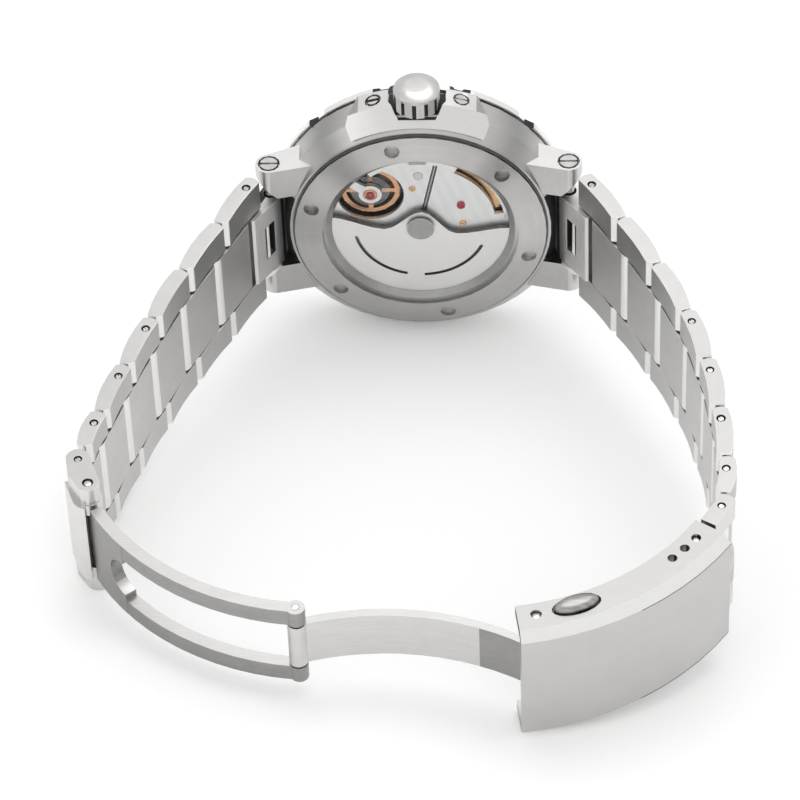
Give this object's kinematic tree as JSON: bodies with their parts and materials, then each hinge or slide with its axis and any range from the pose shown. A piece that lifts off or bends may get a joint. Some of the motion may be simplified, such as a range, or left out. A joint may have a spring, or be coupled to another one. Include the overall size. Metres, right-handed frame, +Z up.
{
  "type": "wristwatch",
  "caption": "Steel diver's wristwatch standing on its side, with a turning bezel, see-through back, guarded crown, link bracelet and an open fold-over clasp",
  "frame": {"origin": "centre of the back crystal's outer face", "axes": "+Z up from the table the watch stands on, along the crown but for a lean of about eight degrees; +X towards twelve o'clock; +Y out through the dial"},
  "size_m": [0.0933, 0.1012, 0.0467],
  "materials": {
    "brushed_steel": "fine brushed stainless steel",
    "polished_steel": "polished stainless steel",
    "movement_plate": "rhodium-plated brass with fine lines",
    "gilt": "gilt",
    "crystal": "clear",
    "black_rubber": "matte",
    "black_ceramic": "gloss ceramic",
    "dial_paint": "satin black"
  },
  "bodies": {
    "case": {"mid_case": "brushed_steel", "crown_guard": "brushed_steel", "guard_screw_left": "polished_steel", "guard_screw_right": "polished_steel", "case_back_ring": "brushed_steel", "case_back_crystal": "crystal", "case_back_gasket": "black_rubber", "front_crystal": "crystal", "flange_ring": "dial_paint", "dial": "dial_paint", "movement_holder": "movement_plate", "main_plate": "movement_plate", "train_bridge": "movement_plate", "barrel_bridge": "movement_plate", "balance_cock": "movement_plate", "left_lug_bar": "polished_steel", "right_lug_bar": "polished_steel", "crown_tube": "polished_steel", "rotor_bearing": "polished_steel"},
    "bezel": {"bezel": "brushed_steel", "bezel_insert": "black_ceramic"},
    "stem": {"winding_stem": "polished_steel"},
    "crown": {"crown": "polished_steel", "crown_gasket": "black_rubber"},
    "rotor": {"rotor": "movement_plate"},
    "balance": {"balance_wheel": "gilt"},
    "barrel": {"mainspring_barrel": "gilt"},
    "hour_hand": {"hour_hand": "polished_steel"},
    "minute_hand": {"minute_hand": "polished_steel"},
    "seconds_hand": {"seconds_hand": "polished_steel"},
    "left_end_piece": {"left_end_piece": "brushed_steel"},
    "left_link_1": {"left_link_1": "brushed_steel"},
    "left_link_2": {"left_link_2": "brushed_steel"},
    "left_link_3": {"left_link_3": "brushed_steel"},
    "left_link_4": {"left_link_4": "brushed_steel"},
    "left_link_5": {"left_link_5": "brushed_steel"},
    "left_link_6": {"left_link_6": "brushed_steel"},
    "left_link_7": {"left_link_7": "brushed_steel", "blade_hinge_pin": "polished_steel"},
    "outer_blade": {"outer_blade": "brushed_steel"},
    "right_end_piece": {"right_end_piece": "brushed_steel"},
    "right_link_1": {"right_link_1": "brushed_steel"},
    "right_link_2": {"right_link_2": "brushed_steel"},
    "right_link_3": {"right_link_3": "brushed_steel"},
    "right_link_4": {"right_link_4": "brushed_steel"},
    "right_link_5": {"right_link_5": "brushed_steel"},
    "right_link_6": {"right_link_6": "brushed_steel"},
    "right_link_7": {"right_link_7": "brushed_steel"},
    "right_link_8": {"right_link_8": "brushed_steel"},
    "clasp_cover": {"clasp_cover": "brushed_steel", "spring_bar": "polished_steel", "cover_hinge_pin": "polished_steel"},
    "inner_blade": {"inner_blade": "brushed_steel", "fold_hinge_pin": "polished_steel"},
    "upper_button": {"upper_push_button": "polished_steel"},
    "lower_button": {"lower_push_button": "polished_steel"}
  },
  "joints": [
    {"name": "bezel_turn", "type": "hinge", "parent": "case", "child": "bezel", "pos_m": [0, 0.00089, 0.00012], "axis": [-0.004, 0.9914, 0.1311], "continuous": true},
    {"name": "stem_turn", "type": "hinge", "parent": "case", "child": "stem", "pos_m": [-0.00002, 0.00406, 0.00054], "axis": [-0.0606, -0.1311, 0.9895], "continuous": true},
    {"name": "crown_pull", "type": "slide", "parent": "stem", "child": "crown", "axis": [-0.0606, -0.1311, 0.9895], "range_m": [0, 0.0015]},
    {"name": "rotor_spin", "type": "hinge", "parent": "case", "child": "rotor", "pos_m": [0, 0.00089, 0.00012], "axis": [-0.004, 0.9914, 0.1311], "continuous": true},
    {"name": "balance_swing", "type": "hinge", "parent": "case", "child": "balance", "pos_m": [-0.00758, 0.00018, 0.00528], "axis": [-0.004, 0.9914, 0.1311], "range_deg": [-280, 280]},
    {"name": "minute_turn", "type": "hinge", "parent": "case", "child": "minute_hand", "pos_m": [0, 0.00089, 0.00012], "axis": [-0.004, 0.9914, 0.1311], "continuous": true},
    {"name": "hour_turn", "type": "hinge", "parent": "case", "child": "hour_hand", "pos_m": [0, 0.00089, 0.00012], "axis": [-0.004, 0.9914, 0.1311], "continuous": true},
    {"name": "barrel_turn", "type": "hinge", "parent": "case", "child": "barrel", "pos_m": [0.00658, 0.00022, 0.00539], "axis": [-0.004, 0.9914, 0.1311], "continuous": true},
    {"name": "seconds_turn", "type": "hinge", "parent": "case", "child": "seconds_hand", "pos_m": [0, 0.00089, 0.00012], "axis": [-0.004, 0.9914, 0.1311], "continuous": true},
    {"name": "clasp_fold", "type": "hinge", "parent": "clasp_cover", "child": "inner_blade", "pos_m": [0.01731, -0.08356, -0.01002], "axis": [0.0606, 0.1311, -0.9895], "range_deg": [0, 122.1]},
    {"name": "left_end_piece_pivot", "type": "hinge", "parent": "case", "child": "left_end_piece", "pos_m": [-0.02177, 0.00217, -0.00105], "axis": [-0.0606, -0.1311, 0.9895], "range_deg": [0, 9.08]},
    {"name": "left_link_1_pivot", "type": "hinge", "parent": "left_end_piece", "child": "left_link_1", "pos_m": [-0.02476, -0.00214, -0.0018], "axis": [-0.0606, -0.1311, 0.9895], "range_deg": [0, 7.22]},
    {"name": "left_link_2_pivot", "type": "hinge", "parent": "left_link_1", "child": "left_link_2", "pos_m": [-0.02944, -0.01131, -0.0033], "axis": [-0.0606, -0.1311, 0.9895], "range_deg": [0, 1.92]},
    {"name": "left_link_3_pivot", "type": "hinge", "parent": "left_link_2", "child": "left_link_3", "pos_m": [-0.03395, -0.02055, -0.0048], "axis": [-0.0606, -0.1311, 0.9895], "range_deg": [0, 2.62]},
    {"name": "left_link_4_pivot", "type": "hinge", "parent": "left_link_3", "child": "left_link_4", "pos_m": [-0.03769, -0.02982, -0.00626], "axis": [-0.0606, -0.1311, 0.9895], "range_deg": [0, 3.42]},
    {"name": "left_link_5_pivot", "type": "hinge", "parent": "left_link_4", "child": "left_link_5", "pos_m": [-0.04097, -0.03885, -0.00766], "axis": [-0.0606, -0.1311, 0.9895], "range_deg": [0, 4.12]},
    {"name": "left_link_6_pivot", "type": "hinge", "parent": "left_link_5", "child": "left_link_6", "pos_m": [-0.0438, -0.0476, -0.00899], "axis": [-0.0606, -0.1311, 0.9895], "range_deg": [0, 4.82]},
    {"name": "left_link_7_pivot", "type": "hinge", "parent": "left_link_6", "child": "left_link_7", "pos_m": [-0.04573, -0.05415, -0.00998], "axis": [-0.0606, -0.1311, 0.9895], "range_deg": [-4.32, 0]},
    {"name": "blade_pivot", "type": "hinge", "parent": "left_link_7", "child": "outer_blade", "pos_m": [-0.044, -0.05882, -0.01049], "axis": [-0.0606, -0.1311, 0.9895], "range_deg": [0, 12.96]},
    {"name": "right_end_piece_pivot", "type": "hinge", "parent": "case", "child": "right_end_piece", "pos_m": [0.02175, 0.00199, 0.0016], "axis": [0.0606, 0.1311, -0.9895], "range_deg": [0, 5.99]},
    {"name": "right_link_1_pivot", "type": "hinge", "parent": "right_end_piece", "child": "right_link_1", "pos_m": [0.02495, -0.00221, 0.00123], "axis": [0.0606, 0.1311, -0.9895], "range_deg": [0, 5.52]},
    {"name": "right_link_2_pivot", "type": "hinge", "parent": "right_link_1", "child": "right_link_2", "pos_m": [0.03033, -0.01107, 0.00039], "axis": [0.0606, 0.1311, -0.9895], "range_deg": [0, 3.32]},
    {"name": "right_link_3_pivot", "type": "hinge", "parent": "right_link_2", "child": "right_link_3", "pos_m": [0.03508, -0.02028, -0.00054], "axis": [0.0606, 0.1311, -0.9895], "range_deg": [0, 4.12]},
    {"name": "right_link_4_pivot", "type": "hinge", "parent": "right_link_3", "child": "right_link_4", "pos_m": [0.0389, -0.02958, -0.00154], "axis": [0.0606, 0.1311, -0.9895], "range_deg": [0, 5.82]},
    {"name": "right_link_5_pivot", "type": "hinge", "parent": "right_link_4", "child": "right_link_5", "pos_m": [0.04128, -0.03892, -0.00263], "axis": [0.0606, 0.1311, -0.9895], "range_deg": [0, 5.42]},
    {"name": "right_link_6_pivot", "type": "hinge", "parent": "right_link_5", "child": "right_link_6", "pos_m": [0.04261, -0.04805, -0.00376], "axis": [0.0606, 0.1311, -0.9895], "range_deg": [0, 6.02]},
    {"name": "right_link_7_pivot", "type": "hinge", "parent": "right_link_6", "child": "right_link_7", "pos_m": [0.04313, -0.05726, -0.00495], "axis": [0.0606, 0.1311, -0.9895], "range_deg": [0, 2.42]},
    {"name": "right_link_8_pivot", "type": "hinge", "parent": "right_link_7", "child": "right_link_8", "pos_m": [0.04244, -0.06406, -0.00589], "axis": [0.0606, 0.1311, -0.9895], "range_deg": [-16.12, 0]},
    {"name": "cover_pivot", "type": "hinge", "parent": "right_link_8", "child": "clasp_cover", "pos_m": [0.03876, -0.07016, -0.00693], "axis": [0.0606, 0.1311, -0.9895], "range_deg": [0, 11.11]},
    {"name": "upper_button_press", "type": "slide", "parent": "clasp_cover", "child": "upper_button", "axis": [0.0606, 0.1311, -0.9895], "range_m": [0, 0.0006], "stiffness_N_per_m": 250, "springref_m": -0.001},
    {"name": "lower_button_press", "type": "slide", "parent": "clasp_cover", "child": "lower_button", "axis": [-0.0606, -0.1311, 0.9895], "range_m": [0, 0.0006], "stiffness_N_per_m": 250, "springref_m": -0.001}
  ],
  "couplings": [
    {"joint": "hour_turn", "follows": "minute_turn", "ratio": 0.083333},
    {"joint": "barrel_turn", "follows": "minute_turn", "ratio": 0.125},
    {"joint": "left_end_piece_pivot", "follows": "clasp_fold", "ratio": 0.07416},
    {"joint": "left_link_1_pivot", "follows": "clasp_fold", "ratio": 0.058968},
    {"joint": "left_link_2_pivot", "follows": "clasp_fold", "ratio": 0.015561},
    {"joint": "left_link_3_pivot", "follows": "clasp_fold", "ratio": 0.021294},
    {"joint": "left_link_4_pivot", "follows": "clasp_fold", "ratio": 0.027846},
    {"joint": "left_link_5_pivot", "follows": "clasp_fold", "ratio": 0.033579},
    {"joint": "left_link_6_pivot", "follows": "clasp_fold", "ratio": 0.039312},
    {"joint": "left_link_7_pivot", "follows": "clasp_fold", "ratio": -0.035217},
    {"joint": "blade_pivot", "follows": "clasp_fold", "ratio": 0.10594},
    {"joint": "right_end_piece_pivot", "follows": "clasp_fold", "ratio": 0.048892},
    {"joint": "right_link_1_pivot", "follows": "clasp_fold", "ratio": 0.045045},
    {"joint": "right_link_2_pivot", "follows": "clasp_fold", "ratio": 0.027027},
    {"joint": "right_link_3_pivot", "follows": "clasp_fold", "ratio": 0.033579},
    {"joint": "right_link_4_pivot", "follows": "clasp_fold", "ratio": 0.047502},
    {"joint": "right_link_5_pivot", "follows": "clasp_fold", "ratio": 0.044226},
    {"joint": "right_link_6_pivot", "follows": "clasp_fold", "ratio": 0.04914},
    {"joint": "right_link_7_pivot", "follows": "clasp_fold", "ratio": 0.019656},
    {"joint": "right_link_8_pivot", "follows": "clasp_fold", "ratio": -0.13186},
    {"joint": "cover_pivot", "follows": "clasp_fold", "ratio": 0.090807}
  ]
}
